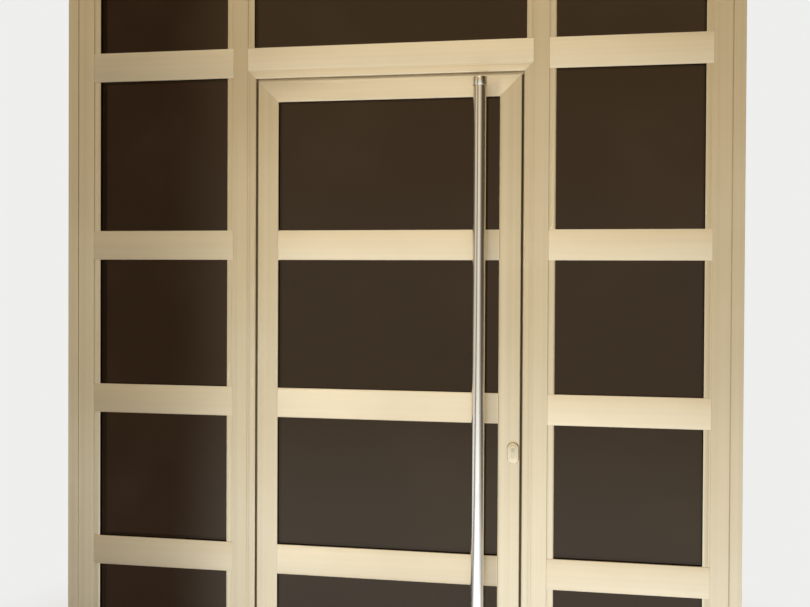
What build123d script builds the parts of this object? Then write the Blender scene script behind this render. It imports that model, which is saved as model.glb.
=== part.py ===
from build123d import *
import math
import os

# Glass entrance door in a screen with two side lights and a top light.
# The leaf opens inwards on three hinges at the left. Sizes are in millimetres.
# X runs across from the middle of the leaf, Y runs inwards from the outer face
# of the posts, and Z runs up from the floor.

# Leaf
leaf_width = 890
leaf_face = 71
leaf_leg = 23
leaf_front = 2
leaf_back = 61
rebate_wing = 16
wing_front = 21
floor_gap = 18

# Panes and cross members
pane_height = 436
rail_height = 100
rail_leg = 20
side_pane_width = 466
top_pane_height = 280
head_height = 72

# Posts and door frame
frame_depth = 60
mullion_width = 51
jamb_width = 57
post_leg = 22
leg_front = 3
leg_back = 6
leg_step = 1
step_width = 6
channel_width = 40
channel_groove = 2.5
groove_depth = 4
lip_width = 29
lip_front = 1
lip_back = 16
lip_wall = 2.5
lip_groove = 7
lip_groove_width = 1.2
door_body_width = 15
side_gap = 8
top_gap = 10
threshold_height = 10
threshold_ramp = 22
upper_rail_rise = 5
strip_ridge = 2
strip_gap = 1
strip_foot = 24
stop_width = 6
stop_setback = 1
stop_lap = 4.5

# Walls and edges of the sections
wall = 2
front_wall = 3
arris = 0.8
bevel_run = 4
bevel_drop = 1.5
hook = 4
cope_gap = 0.2

# Glazing
glass = 10
glass_cover = 12
outer_seal = 6
outer_seal_width = 8
inner_seal = 3
inner_seal_width = 6
seal_setback = 1.5
bead_setback = 2
bead_wall = 1.6
bead_shy = 2
setting_block = 60

# Hinges
hinge_length = 110
hinge_plate = 4
knuckle_radius = 11
pin_radius = 5
pin_clearance = 0.06
pin_end = 2
knuckle_gap = 0.5
knuckle_lift = 1
hinge_offset = 3
hinge_inset = 5
hinge_screw_inset = 18
hinge_screw_length = 16
wing_clearance = 9
wing_arm = 15
hinge_heights = (230, 1140, 2050)

# Lock
cylinder_height = 1006
cylinder_inset = 22
cylinder_radius = 8.5
cylinder_drop = 24.5
cylinder_lobe = 10
cylinder_clearance = 0.2
cylinder_stand = 1
plug_radius = 6.5
plug_clearance = 0.1
keyway_width = 2.6
keyway_height = 9
keyway_depth = 12
turn_lift = 3
turn_length = 36
turn_width = 14
turn_depth = 18
escutcheon_height = 70
escutcheon_width = 38
escutcheon_depth = 8
boss_height = 54
boss_width = 26
boss_depth = 2
escutcheon_drop = 10
escutcheon_screw_inset = 7.5
escutcheon_screw_radius = 2.5
case_depth = 16
case_y = 41
case_inset = 6
case_drop = 66
case_margin = 16
faceplate = 3
faceplate_width = 22
faceplate_height = 230
faceplate_screw_inset = 9
faceplate_screw_length = 14
bolt_rise = 24
bolt_height = 34
bolt_length = 34
bolt_thickness = 12
bolt_setback = 1.5
latch_gap = 20
latch_height = 20
latch_length = 30
latch_thickness = 11
latch_setback = 1
latch_slope = 10
latch_nose = 2
bolt_clearance = 0.2
channel_end = 0.5
retainer_drop = 20
retainer_length = 42
cam_reach = 13.5
cam_crown = 6
cam_width = 10
cam_thickness = 8
cam_clearance = 0.7
strike = 2.5
strike_margin = 24
strike_clearance = 1.5
strike_screw_inset = 9
strike_screw_length = 12

# Pull bar
bar_radius = 21
bar_wall = 2
bar_inset = 133
bar_standoff = 75
bar_top_drop = 40
bar_bottom_rise = 42
collar_radius = 23
collar_height = 27
collar_end = 3
collar_clearance = 0.1
saddle_clearance = 0.05
standoff_radius = 11
bolt_radius = 5
bolt_head_radius = 9.5
bolt_head = 6.4
bolt_grip = 30

# Fixings
wall_hole = 5.25
wall_hole_heights = (250, 1345, 2440)
screw_radius = 2.75
shank_sides = 6
cleat_arm = 60
leaf_cleat_width = 20
frame_cleat_width = 11
brush_width = 6
seat_gap = 0.3

# Places across the screen, from the middle outwards
leaf_edge = leaf_width / 2
leaf_box = leaf_edge - leaf_face + leaf_leg
leaf_tip = leaf_edge - leaf_face
wing_edge = leaf_edge + rebate_wing
lip_edge = leaf_edge + side_gap
mullion_inner = lip_edge + lip_width
door_body = mullion_inner - door_body_width
mullion_outer = mullion_inner + mullion_width
mullion_tip = mullion_outer + post_leg
jamb_tip = mullion_tip + side_pane_width
jamb_inner = jamb_tip + post_leg
jamb_outer = jamb_inner + jamb_width
channel_outer = jamb_outer + channel_width

# Places up the screen, from the floor
pitch = rail_height + pane_height
leaf_bottom = floor_gap
sill_top = leaf_bottom + rail_height
rail_4 = sill_top + pane_height
rail_3 = rail_4 + pitch
rail_2 = rail_3 + pitch
leaf_top = rail_2 + pitch + leaf_face
lip_low = leaf_top + top_gap
transom_low = lip_low + lip_width
rail_1 = lip_low + upper_rail_rise
transom_top = rail_1 + rail_height
head_low = transom_top + top_pane_height
screen_top = head_low + head_height
hook_back = leaf_front + leg_back


def block(x, y, z):
    """A plain block between the two ends given along each axis."""
    size = [abs(b - a) for a, b in (x, y, z)]
    corner = [min(ends) for ends in (x, y, z)]
    return Pos(*corner) * Box(*size, align=(Align.MIN, Align.MIN, Align.MIN))


def section(outline, hollows):
    """The face of a profile with its hollow chambers taken out."""
    face = Polygon(*outline, align=None)
    for hollow in hollows:
        face -= Polygon(*hollow, align=None)
    return face


def upright(outline, low, high, hollows=()):
    """A profile standing upright, its outline given in X and Y."""
    face = Plane.XY.offset(low) * section(outline, hollows)
    return extrude(face, high - low, dir=(0, 0, 1))


def crosswise(outline, left, right, hollows=()):
    """A profile lying across the screen, its outline given in Y and Z."""
    plane = Plane(origin=(left, 0, 0), x_dir=(0, 1, 0), z_dir=(1, 0, 0))
    return extrude(plane * section(outline, hollows), right - left, dir=(1, 0, 0))


def turned(radius, place, length, axis):
    """A round bar that starts at a place and runs along an axis."""
    plane = Plane(origin=place, z_dir=axis)
    return extrude(plane * Circle(radius), length, dir=axis)


def without(piece, tools):
    """A piece with every tool cut from it."""
    for tool in tools:
        piece -= tool
    return piece


def mirrored(piece):
    """The left-hand copy of a right-hand piece."""
    return mirror(piece, about=Plane.YZ)


def rectangle(left, right, low, high):
    """The corners of a rectangle, for a chamber in a section."""
    return [(left, low), (right, low), (right, high), (left, high)]


def shank(radius, place, length, axis):
    """A screw or bolt without its thread, drawn with six flats."""
    plane = Plane(origin=place, z_dir=axis)
    return extrude(plane * RegularPolygon(radius, shank_sides), length, dir=axis)


def screw(place, axis, length, radius=screw_radius):
    """A screw with its head sunk flush at a place and its tip along an axis."""
    return shank(2 * radius, place, radius, axis) + shank(radius, place, length, axis)


# Posts: hollow boxes with a recessed leg that holds the glass


def post(far, root, tip):
    """A full-height post, its box from far to root and its leg out to tip."""
    out = math.copysign(1, tip - root)
    outline = [(far, arris), (far + out * arris, 0), (root - out * arris, 0), (root, arris)]
    outline += [(root, leg_front + leg_step), (root + out * step_width, leg_front + leg_step)]
    outline += [(root + out * step_width, leg_front), (tip - out * bevel_run, leg_front)]
    outline += [(tip, leg_front + bevel_drop), (tip, leg_back), (root, leg_back)]
    outline += [(root, frame_depth), (far, frame_depth)]
    hollow = rectangle(far + out * wall, root - out * wall, wall, frame_depth - wall)
    return upright(outline, 0, screen_top, [hollow])


def wall_channel():
    """The right wall channel: its base is drilled, its flanges reach to the jamb."""
    groove = jamb_outer + channel_groove
    base = channel_outer - wall
    outline = [(jamb_outer, groove_depth), (groove, groove_depth), (groove, arris)]
    outline += [(groove + arris, 0), (channel_outer - arris, 0), (channel_outer, arris)]
    outline += [(channel_outer, frame_depth), (jamb_outer, frame_depth)]
    outline += [(jamb_outer, frame_depth - wall), (base, frame_depth - wall)]
    outline += [(base, wall), (groove + wall, wall), (groove + wall, groove_depth + wall)]
    outline += [(jamb_outer, groove_depth + wall)]
    piece = upright(outline, 0, screen_top)
    for height in wall_hole_heights:
        place = (base - 1, frame_depth / 2, height)
        piece -= turned(wall_hole, place, wall + 2, (1, 0, 0))
    return piece


# Cross members: a box with a leg above and below, in one flat outer face


def cross_outline(low, high, low_leg, high_leg, front, back):
    """Section of a cross member; a leg of nought leaves the box edge plain."""
    rear = front + front_wall
    deep = front + leg_back
    outline = [(front + bevel_drop, low), (front, low + bevel_run)]
    outline += [(front, high - bevel_run), (front + bevel_drop, high)]
    if high_leg:
        outline += [(deep, high), (deep, high - hook), (rear, high - hook)]
        outline += [(rear, high - high_leg)]
    outline += [(back, high - high_leg), (back, low + low_leg)]
    if low_leg:
        outline += [(rear, low + low_leg), (rear, low + hook)]
        outline += [(deep, low + hook), (deep, low)]
    return outline


def cross_member(left, right, low, high, low_leg, high_leg, front, back):
    """A hollow cross member between two posts."""
    outline = cross_outline(low, high, low_leg, high_leg, front, back)
    inside = (low + low_leg + wall, high - high_leg - wall)
    hollow = rectangle(front + front_wall, back - wall, *inside)
    return crosswise(outline, left, right, [hollow])


def side_rail(low, high, low_leg, high_leg):
    """A rail of the right side light, coped over the legs of its posts."""
    piece = cross_member(mullion_outer, jamb_inner, low, high, low_leg, high_leg, 0, frame_depth)
    depth = (leg_front, leg_back + cope_gap)
    height = (low - 1, high + 1)
    piece -= block((mullion_outer - 1, mullion_tip + cope_gap), depth, height)
    piece -= block((jamb_tip - cope_gap, jamb_inner + 1), depth, height)
    return piece


def leaf_rail(low, high, low_leg):
    """A rail of the leaf: its face ends at the legs of the stiles, its box runs on."""
    piece = cross_member(-leaf_box, leaf_box, low, high, low_leg, rail_leg, leaf_front, leaf_back)
    depth = (leaf_front - 1, hook_back + cope_gap)
    height = (low - 1, high + 1)
    piece -= block((leaf_tip, leaf_box + 1), depth, height)
    piece -= block((-leaf_box - 1, -leaf_tip), depth, height)
    return piece


def threshold():
    """A low threshold with a ramp at the outside and three feet under its plate."""
    foot = frame_depth / 2
    under = threshold_height - front_wall
    rear = frame_depth - front_wall
    outline = [(-threshold_ramp, 0), (-threshold_ramp, wall), (0, threshold_height)]
    outline += [(rear, threshold_height), (frame_depth, under), (frame_depth, 0), (rear, 0)]
    outline += [(rear, under - front_wall), (rear - front_wall, under)]
    outline += [(foot + front_wall, under), (foot + front_wall, 0), (foot, 0), (foot, under)]
    outline += [(front_wall, under), (front_wall, 0)]
    return crosswise(outline, -mullion_inner, mullion_inner)


# Mitred profiles: the door frame and the head corners of the leaf


def door_frame_section():
    """Section of the right door frame: a lip at the outside and a body behind it."""
    line = mullion_inner - lip_groove
    edge = line - lip_groove_width
    outline = [(mullion_inner, lip_front), (line, lip_front), (line, lip_front + leg_step)]
    outline += [(edge, lip_front + leg_step), (edge, lip_front)]
    outline += [(lip_edge + bevel_run, lip_front), (lip_edge, lip_front + bevel_drop)]
    outline += [(lip_edge, lip_back), (door_body, lip_back)]
    outline += [(door_body, frame_depth), (mullion_inner, frame_depth)]
    front = lip_front + lip_wall
    hollow = [(lip_edge + wall, front), (mullion_inner - wall, front)]
    hollow += [(mullion_inner - wall, frame_depth - wall), (door_body + wall, frame_depth - wall)]
    hollow += [(door_body + wall, lip_back - wall), (lip_edge + wall, lip_back - wall)]
    return outline, hollow


def leaf_section():
    """Section of the lock stile: its front fits the frame, its wing laps behind the lip."""
    rear = leaf_front + front_wall
    outline = [(leaf_tip + bevel_run, leaf_front), (leaf_edge - bevel_run / 2, leaf_front)]
    outline += [(leaf_edge, leaf_front + bevel_drop), (leaf_edge, wing_front)]
    outline += [(wing_edge, wing_front), (wing_edge, leaf_back), (leaf_box, leaf_back)]
    outline += [(leaf_box, rear), (leaf_tip + hook, rear), (leaf_tip + hook, hook_back)]
    outline += [(leaf_tip, hook_back), (leaf_tip, leaf_front + bevel_drop)]
    hollow = [(leaf_box + wall, rear), (leaf_edge - wall, rear)]
    hollow += [(leaf_edge - wall, wing_front + wall), (wing_edge - wall, wing_front + wall)]
    hollow += [(wing_edge - wall, leaf_back - wall), (leaf_box + wall, leaf_back - wall)]
    return outline, hollow


def lying(points, across, up):
    """The same section turned for the top: what was outwards becomes upwards."""
    return [(y, x - across + up) for x, y in points]


def beyond_mitre(x, z, above):
    """The space above or below a mitre that rises outwards through a right-hand corner."""
    reach = 300
    third = (x - reach, z + reach) if above else (x + reach, z - reach)
    wedge = Polygon((x - reach, z - reach), (x + reach, z + reach), third, align=None)
    plane = Plane(origin=(0, -reach, 0), x_dir=(1, 0, 0), z_dir=(0, -1, 0))
    return extrude(plane * wedge, 2 * reach, dir=(0, 1, 0))


def mitred_upright(shape, corner, low):
    """A right-hand upright, mitred at its head."""
    outline, hollow = shape
    length = upright(outline, low, corner[1] + rebate_wing, [hollow])
    return length - beyond_mitre(*corner, True)


def mitred_head(shape, corner, reach):
    """A head profile, mitred at both ends."""
    across, up = corner
    outline, hollow = [lying(points, across, up) for points in shape]
    end = beyond_mitre(*corner, False)
    return crosswise(outline, -reach, reach, [hollow]) - end - mirrored(end)


def corner_cleat(outer, top, thick, depth):
    """A cast cleat that fills the outer side of a mitred corner."""
    low = top - cleat_arm
    inner = outer - cleat_arm
    outline = [(outer, top), (outer, low), (outer - thick, low)]
    outline += [(outer - thick, top - thick), (inner, top - thick), (inner, top)]
    plane = Plane(origin=(0, depth[0], 0), x_dir=(1, 0, 0), z_dir=(0, -1, 0))
    return extrude(plane * Polygon(*outline, align=None), depth[1] - depth[0], dir=(0, 1, 0))


def top_light_strip():
    """The right side strip of the top light: a leg with a foot along the mullion."""
    tip = mullion_inner - post_leg
    ridge = mullion_inner - step_width
    outline = [(mullion_inner, leg_front), (ridge, leg_front), (ridge, leg_front - leg_step)]
    outline += [(ridge - strip_ridge, leg_front - leg_step), (ridge - strip_ridge, leg_front)]
    outline += [(tip + bevel_run, leg_front), (tip, leg_front + bevel_drop), (tip, leg_back)]
    outline += [(mullion_inner - wall, leg_back), (mullion_inner - wall, strip_foot)]
    outline += [(mullion_inner, strip_foot)]
    return upright(outline, transom_top + strip_gap, head_low - strip_gap)


# Glazing: panes between seals, held by beads from the inside


def ring(left, right, low, high, inset, width, depth):
    """A seal round an opening, joined at its corners and set back from the edge."""
    outer = inset + width
    whole = block((left - outer, right + outer), depth, (low - outer, high + outer))
    return whole - block((left - inset, right + inset), depth, (low - inset, high + inset))


def bead_outline(root, tip, front, back):
    """A bead with three walls, open towards its profile."""
    out = math.copysign(1, tip - root)
    inner = tip - out * bead_wall
    outline = [(root, front), (tip, front), (tip, back), (root, back)]
    outline += [(root, back - bead_wall), (inner, back - bead_wall)]
    outline += [(inner, front + bead_wall), (root, front + bead_wall)]
    return outline


def beads(left, right, low, high, side_leg, legs, front, back):
    """Four beads round an opening, the upright ones running through."""
    low_leg, high_leg = legs
    parts = []
    for edge, out in ((left, -1), (right, 1)):
        outline = bead_outline(edge + out * side_leg, edge + out * bead_setback, front, back)
        parts.append(upright(outline, low - low_leg, high + high_leg))
    for edge, out, leg in ((low, -1, low_leg), (high, 1, high_leg)):
        outline = bead_outline(edge + out * leg, edge + out * bead_setback, front, back)
        turned_outline = [(y, z) for z, y in outline]
        parts.append(crosswise(turned_outline, left - bead_setback, right + bead_setback))
    return parts


def glaze(left, right, low, high, side_leg, legs, seat, back):
    """Pane, seals, beads and setting blocks of one clear opening."""
    pane_y = (seat + outer_seal, seat + outer_seal + glass)
    inner_y = (pane_y[1], pane_y[1] + inner_seal)
    wide = (left - glass_cover, right + glass_cover)
    tall = (low - glass_cover, high + glass_cover)
    pane = block(wide, pane_y, tall)
    setback = bead_setback + seal_setback
    seals = [ring(left, right, low, high, seal_setback, outer_seal_width, (seat, pane_y[0]))]
    seals += [ring(left, right, low, high, setback, inner_seal_width, inner_y)]
    strips = beads(left, right, low, high, side_leg, legs, inner_y[1], back)
    quarter = (right - left) / 4
    blocks = []
    for middle in (left + quarter, right - quarter):
        span = (middle - setting_block / 2, middle + setting_block / 2)
        blocks.append(block(span, pane_y, (low - legs[0], low - glass_cover)))
    return {"panes": [pane], "seals": seals, "beads": strips, "blocks": blocks}


def glaze_all(openings, side_leg, seat, back):
    """The glazing pieces of several openings, gathered by kind."""
    gathered = {"panes": [], "seals": [], "beads": [], "blocks": []}
    for left, right, low, high, legs in openings:
        pieces = glaze(left, right, low, high, side_leg, legs, seat, back)
        for kind, items in pieces.items():
            gathered[kind] += items
    return gathered


# Hinges: a frame wing with the lower knuckle, a leaf wing with the upper, and a pin


hinge_x = -wing_edge - hinge_offset
hinge_y = leaf_back + knuckle_radius + knuckle_lift
hinge_half = hinge_length / 2
frame_wing_left = -mullion_outer + hinge_inset
frame_wing_right = hinge_x - wing_clearance
leaf_wing_left = hinge_x + wing_clearance
leaf_wing_right = -leaf_box - hinge_inset
frame_screw_x = frame_wing_left + hinge_screw_inset
leaf_screw_x = leaf_wing_right - hinge_screw_inset


def knuckle(low, high, bore, arm):
    """One knuckle with the arm that joins it to its plate."""
    barrel = upright(arm, low, high)
    barrel += turned(knuckle_radius, (hinge_x, hinge_y, low), high - low, (0, 0, 1))
    return barrel - turned(bore, (hinge_x, hinge_y, low - 1), high - low + 2, (0, 0, 1))


def hinge_screws(x, y, height):
    """The two screws of one wing."""
    drop = hinge_length / 3
    length = hinge_screw_length
    return [screw((x, y, height + rise), (0, -1, 0), length) for rise in (-drop, drop)]


def frame_wing(height):
    """The fixed wing, screwed to the back of the mullion, with the lower knuckle."""
    plate_back = frame_depth + hinge_plate
    root = frame_wing_right - wing_arm
    arm = [(root, frame_depth), (frame_wing_right, frame_depth)]
    arm += [(hinge_x, hinge_y - knuckle_radius), (hinge_x, hinge_y)]
    arm += [(hinge_x - knuckle_radius, hinge_y), (root, plate_back)]
    span = (frame_wing_left, frame_wing_right)
    piece = block(span, (frame_depth, plate_back), (height - hinge_half, height + hinge_half))
    piece += knuckle(height - hinge_half, height - knuckle_gap / 2, pin_radius, arm)
    return without(piece, hinge_screws(frame_screw_x, plate_back, height))


def leaf_wing(height):
    """The moving wing, screwed to the back of the hinge stile, with the upper knuckle."""
    plate_back = leaf_back + hinge_plate
    root = leaf_wing_left + wing_arm
    arm = [(root, leaf_back), (leaf_wing_left, leaf_back)]
    arm += [(hinge_x, hinge_y - knuckle_radius), (hinge_x, hinge_y)]
    arm += [(hinge_x + knuckle_radius, hinge_y), (root, plate_back)]
    span = (leaf_wing_left, leaf_wing_right)
    piece = block(span, (leaf_back, plate_back), (height - hinge_half, height + hinge_half))
    bore = pin_radius + pin_clearance
    piece += knuckle(height + knuckle_gap / 2, height + hinge_half, bore, arm)
    return without(piece, hinge_screws(leaf_screw_x, plate_back, height))


def hinge_pin(height):
    """A plain pin, held in the lower knuckle and a little longer than the barrel."""
    place = (hinge_x, hinge_y, height - hinge_half - pin_end)
    return turned(pin_radius, place, hinge_length + 2 * pin_end, (0, 0, 1))


frame_hinge_screws = []
leaf_hinge_screws = []
for hinge_height in hinge_heights:
    frame_y = frame_depth + hinge_plate
    leaf_y = leaf_back + hinge_plate
    frame_hinge_screws += hinge_screws(frame_screw_x, frame_y, hinge_height)
    leaf_hinge_screws += hinge_screws(leaf_screw_x, leaf_y, hinge_height)


# Lock: a cased deadbolt and latch, worked by a half cylinder and a thumb turn inside


cylinder_x = leaf_edge - cylinder_inset
case_front = wing_edge - faceplate
cylinder_front = leaf_front - escutcheon_depth - cylinder_stand
case_left = leaf_box + case_inset
bolt_low = cylinder_height + bolt_rise
bolt_high = bolt_low + bolt_height
latch_low = bolt_high + latch_gap
latch_high = latch_low + latch_height
case_low = cylinder_height - case_drop
case_high = latch_high + case_margin
face_low = (case_low + case_high) / 2 - faceplate_height / 2
face_high = face_low + faceplate_height
face_y = (case_y - faceplate_width / 2, case_y + faceplate_width / 2)
escutcheon_middle = cylinder_height - escutcheon_drop
escutcheon_screw = escutcheon_height / 2 - escutcheon_screw_inset
bolt_y = (case_y - bolt_thickness / 2, case_y + bolt_thickness / 2)
latch_y = (case_y - latch_thickness / 2, case_y + latch_thickness / 2)
bolt_tip = wing_edge - bolt_setback
latch_tip = wing_edge - latch_setback
bolt_back = bolt_tip - bolt_length
latch_back = latch_tip - latch_length
retainer_height = cylinder_height - retainer_drop
retainer = screw((wing_edge, case_y, retainer_height), (-1, 0, 0), retainer_length)


def through(outline_face, front, back):
    """A face drawn in X and Z, carried through from front to back."""
    plane = Plane(origin=(0, front, 0), x_dir=(1, 0, 0), z_dir=(0, -1, 0))
    return extrude(plane * outline_face, back - front, dir=(0, 1, 0))


def cylinder_profile(gap):
    """The keyhole-shaped profile of the cylinder, grown by a gap."""
    middle = Pos(cylinder_x, cylinder_height)
    low = cylinder_drop - cylinder_lobe / 2
    lobe = Pos(cylinder_x, cylinder_height - low / 2) * Rectangle(cylinder_lobe + 2 * gap, low)
    foot = Pos(cylinder_x, cylinder_height - low) * Circle(cylinder_lobe / 2 + gap)
    return middle * Circle(cylinder_radius + gap) + lobe + foot


def grown(place, gap):
    """A pair of ends, moved apart by a gap."""
    return (place[0] - gap, place[1] + gap)


def cylinder_window(front, back):
    """The straight-sided opening that the cylinder passes through."""
    reach = cylinder_radius + cylinder_clearance
    low = cylinder_height - cylinder_drop - cylinder_clearance
    span = (cylinder_x - reach, cylinder_x + reach)
    return block(span, (front, back), (low, cylinder_height + reach))


def lock_screws():
    """Faceplate screws, the cylinder's retaining screw and the escutcheon screws."""
    parts = [retainer]
    for height in (face_low + faceplate_screw_inset, face_high - faceplate_screw_inset):
        parts.append(screw((wing_edge, case_y, height), (-1, 0, 0), faceplate_screw_length))
    for rise in (-escutcheon_screw, escutcheon_screw):
        place = (cylinder_x, leaf_back + escutcheon_depth, escutcheon_middle + rise)
        length = leaf_back - leaf_front + 2 * escutcheon_depth - front_wall
        parts.append(screw(place, (0, -1, 0), length, escutcheon_screw_radius))
    return parts


def lock_case():
    """The case, with channels for both bolts and room for the cam to turn."""
    depth = (case_y - case_depth / 2, case_y + case_depth / 2)
    piece = block((case_left, case_front), depth, (case_low, case_high))
    span = (bolt_back - channel_end, case_front + 1)
    bolt_z = grown((bolt_low, bolt_high), bolt_clearance)
    piece -= block(span, grown(bolt_y, bolt_clearance), bolt_z)
    span = (latch_back - channel_end, case_front + 1)
    latch_z = grown((latch_low, latch_high), bolt_clearance)
    piece -= block(span, grown(latch_y, bolt_clearance), latch_z)
    room = cam_reach + cam_clearance
    cam_x = (cylinder_x - room, cylinder_x + room)
    cam_y = grown((case_y - cam_width / 2, case_y + cam_width / 2), cam_clearance)
    piece -= block(cam_x, cam_y, (cylinder_height - room, cylinder_height + room))
    return piece - cylinder_window(*grown(depth, 1))


def lock_faceplate():
    """The faceplate, flush in the edge of the lock stile."""
    piece = block((case_front, wing_edge), face_y, (face_low, face_high))
    span = (case_front - 1, wing_edge + 1)
    bolt_z = grown((bolt_low, bolt_high), bolt_clearance)
    latch_z = grown((latch_low, latch_high), bolt_clearance)
    piece -= block(span, grown(bolt_y, bolt_clearance), bolt_z)
    piece -= block(span, grown(latch_y, bolt_clearance), latch_z)
    return piece


def cylinder_body():
    """The half cylinder, bored for its plug, with a foot that reaches under the cam."""
    back = case_y + cam_width / 2
    piece = through(cylinder_profile(0), cylinder_front, back)
    hole = plug_radius + plug_clearance
    place = (cylinder_x, cylinder_front - 1, cylinder_height)
    piece -= turned(hole, place, back - cylinder_front + 2, (0, 1, 0))
    room_y = (case_y - cam_width / 2 - seat_gap, back + 1)
    room_z = (cylinder_height - cam_reach - cam_clearance, cylinder_height + cylinder_radius + 1)
    room_x = grown((cylinder_x, cylinder_x), cylinder_radius + 1)
    return piece - block(room_x, room_y, room_z) - retainer


def cylinder_plug():
    """The key plug with its keyway, and the cam at its inner end."""
    end = case_y - cam_width / 2
    place = (cylinder_x, cylinder_front, cylinder_height)
    piece = turned(plug_radius, place, end - cylinder_front, (0, 1, 0))
    keyway_x = grown((cylinder_x, cylinder_x), keyway_width / 2)
    keyway_z = grown((cylinder_height, cylinder_height), keyway_height / 2)
    piece -= block(keyway_x, (cylinder_front - 1, cylinder_front + keyway_depth), keyway_z)
    cam_x = grown((cylinder_x, cylinder_x), cam_thickness / 2)
    cam_z = (cylinder_height - cam_reach, cylinder_height + cam_crown)
    return piece + block(cam_x, (end, end + cam_width), cam_z)


def thumb_turn():
    """The inside turn: a shaft from the cam through the inner shield, and a flat grip."""
    start = case_y + cam_width / 2
    grip_y = leaf_back + escutcheon_depth + turn_lift
    shaft = turned(plug_radius, (cylinder_x, start, cylinder_height), grip_y - start, (0, 1, 0))
    grip = Pos(cylinder_x, cylinder_height) * Rectangle(turn_width, turn_length)
    return shaft + through(grip, grip_y, grip_y + turn_depth)


def pill(width, height):
    """A pill-shaped face, standing on the middle of the escutcheon."""
    return Pos(cylinder_x, escutcheon_middle) * SlotOverall(height, width, rotation=90)


def outer_escutcheon():
    """A pill-shaped shield with a raised boss round the cylinder."""
    front = leaf_front - escutcheon_depth
    shield = through(pill(escutcheon_width, escutcheon_height), front, leaf_front)
    boss = through(pill(boss_width, boss_height), front - boss_depth, front + 1)
    hole = through(cylinder_profile(cylinder_clearance), front - boss_depth - 1, leaf_front + 1)
    return without(shield + boss - hole, lock_screws()[-2:])


def inner_escutcheon():
    """The plain shield on the inside, drilled for the two fixing screws."""
    back = leaf_back + escutcheon_depth
    shield = through(pill(escutcheon_width, escutcheon_height), leaf_back, back)
    place = (cylinder_x, leaf_back - 1, cylinder_height)
    shield -= turned(plug_radius + cylinder_clearance, place, escutcheon_depth + 2, (0, 1, 0))
    return without(shield, lock_screws()[-2:])


def latch_bolt():
    """The latch, with a slope on the side that meets the strike plate as the leaf closes."""
    outline = [(latch_back, latch_y[0]), (latch_tip - latch_slope, latch_y[0])]
    outline += [(latch_tip, latch_y[1] - latch_nose), (latch_tip, latch_y[1])]
    outline += [(latch_back, latch_y[1])]
    return upright(outline, latch_low, latch_high)


strike_z = (bolt_low - strike_margin, latch_high + strike_margin)


def strike_screws():
    """Two screws that hold the strike plate to the door frame."""
    heights = (strike_z[0] + strike_screw_inset, strike_z[1] - strike_screw_inset)
    places = [(door_body - strike, case_y, height) for height in heights]
    return [screw(place, (1, 0, 0), strike_screw_length) for place in places]


def strike_holes(near, far):
    """The space that both bolts need in the strike plate and the wall behind it."""
    gap = strike_clearance
    bolt = block((near, far), grown(bolt_y, gap), grown((bolt_low, bolt_high), gap))
    latch = block((near, far), grown(latch_y, gap), grown((latch_low, latch_high), gap))
    return bolt + latch


def strike_plate():
    """The strike plate on the face of the door frame."""
    piece = block((door_body - strike, door_body), grown(face_y, 1), strike_z)
    piece -= strike_holes(door_body - strike - 1, door_body + 1)
    return without(piece, strike_screws())


# Pull bar: a tube with a collar at each end, on three standoffs


bar_x = leaf_edge - bar_inset
bar_y = leaf_front - bar_standoff
top_support = leaf_top - bar_top_drop
bottom_support = leaf_bottom + bar_bottom_rise
middle_support = rail_3 + rail_height / 2
bar_top = top_support + collar_height / 2
bar_bottom = bottom_support - collar_height / 2
supports = (bottom_support, middle_support, top_support)


def pull_bar():
    """The tube of the pull bar."""
    length = bar_top - bar_bottom - 2 * collar_end
    place = (bar_x, bar_y, bar_bottom + collar_end)
    tube = turned(bar_radius, place, length, (0, 0, 1))
    return tube - turned(bar_radius - bar_wall, place, length, (0, 0, 1))


def collar(low):
    """A closed collar over the end of the tube."""
    place = (bar_x, bar_y, low)
    outer = turned(collar_radius, place, collar_height, (0, 0, 1))
    top = low > middle_support
    start = low - 1 if top else low + collar_end
    depth = collar_height - collar_end + 1
    hole = bar_radius + collar_clearance
    return outer - turned(hole, (bar_x, bar_y, start), depth, (0, 0, 1))


def standoff(height):
    """A round standoff, saddled to the bar and tapped for its bolt."""
    place = (bar_x, bar_y, height)
    piece = turned(standoff_radius, place, leaf_front - bar_y, (0, 1, 0))
    seat = bar_radius if height == middle_support else collar_radius
    place = (bar_x, bar_y, height - 2 * standoff_radius)
    piece -= turned(seat + saddle_clearance, place, 4 * standoff_radius, (0, 0, 1))
    place = (bar_x, leaf_front - bolt_grip, height)
    return piece - shank(bolt_radius, place, bolt_grip + 1, (0, 1, 0))


def bar_bolt(height):
    """A bolt through the leaf into the standoff, its hexagonal head on the inside."""
    place = (bar_x, leaf_front - bolt_grip, height)
    rod = shank(bolt_radius, place, leaf_back - leaf_front + bolt_grip, (0, 1, 0))
    return rod + shank(bolt_head_radius, (bar_x, leaf_back, height), bolt_head, (0, 1, 0))


def drilled(piece, height):
    """A leaf rail with the hole for one bolt of the pull bar."""
    place = (bar_x, leaf_front - 1, height)
    return piece - shank(bolt_radius, place, leaf_back - leaf_front + 2, (0, 1, 0))


# Assembly of every piece under its own name


def group(pieces):
    """Several separate solids under one name."""
    return Compound(children=[solid for piece in pieces for solid in piece.solids()])


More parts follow.
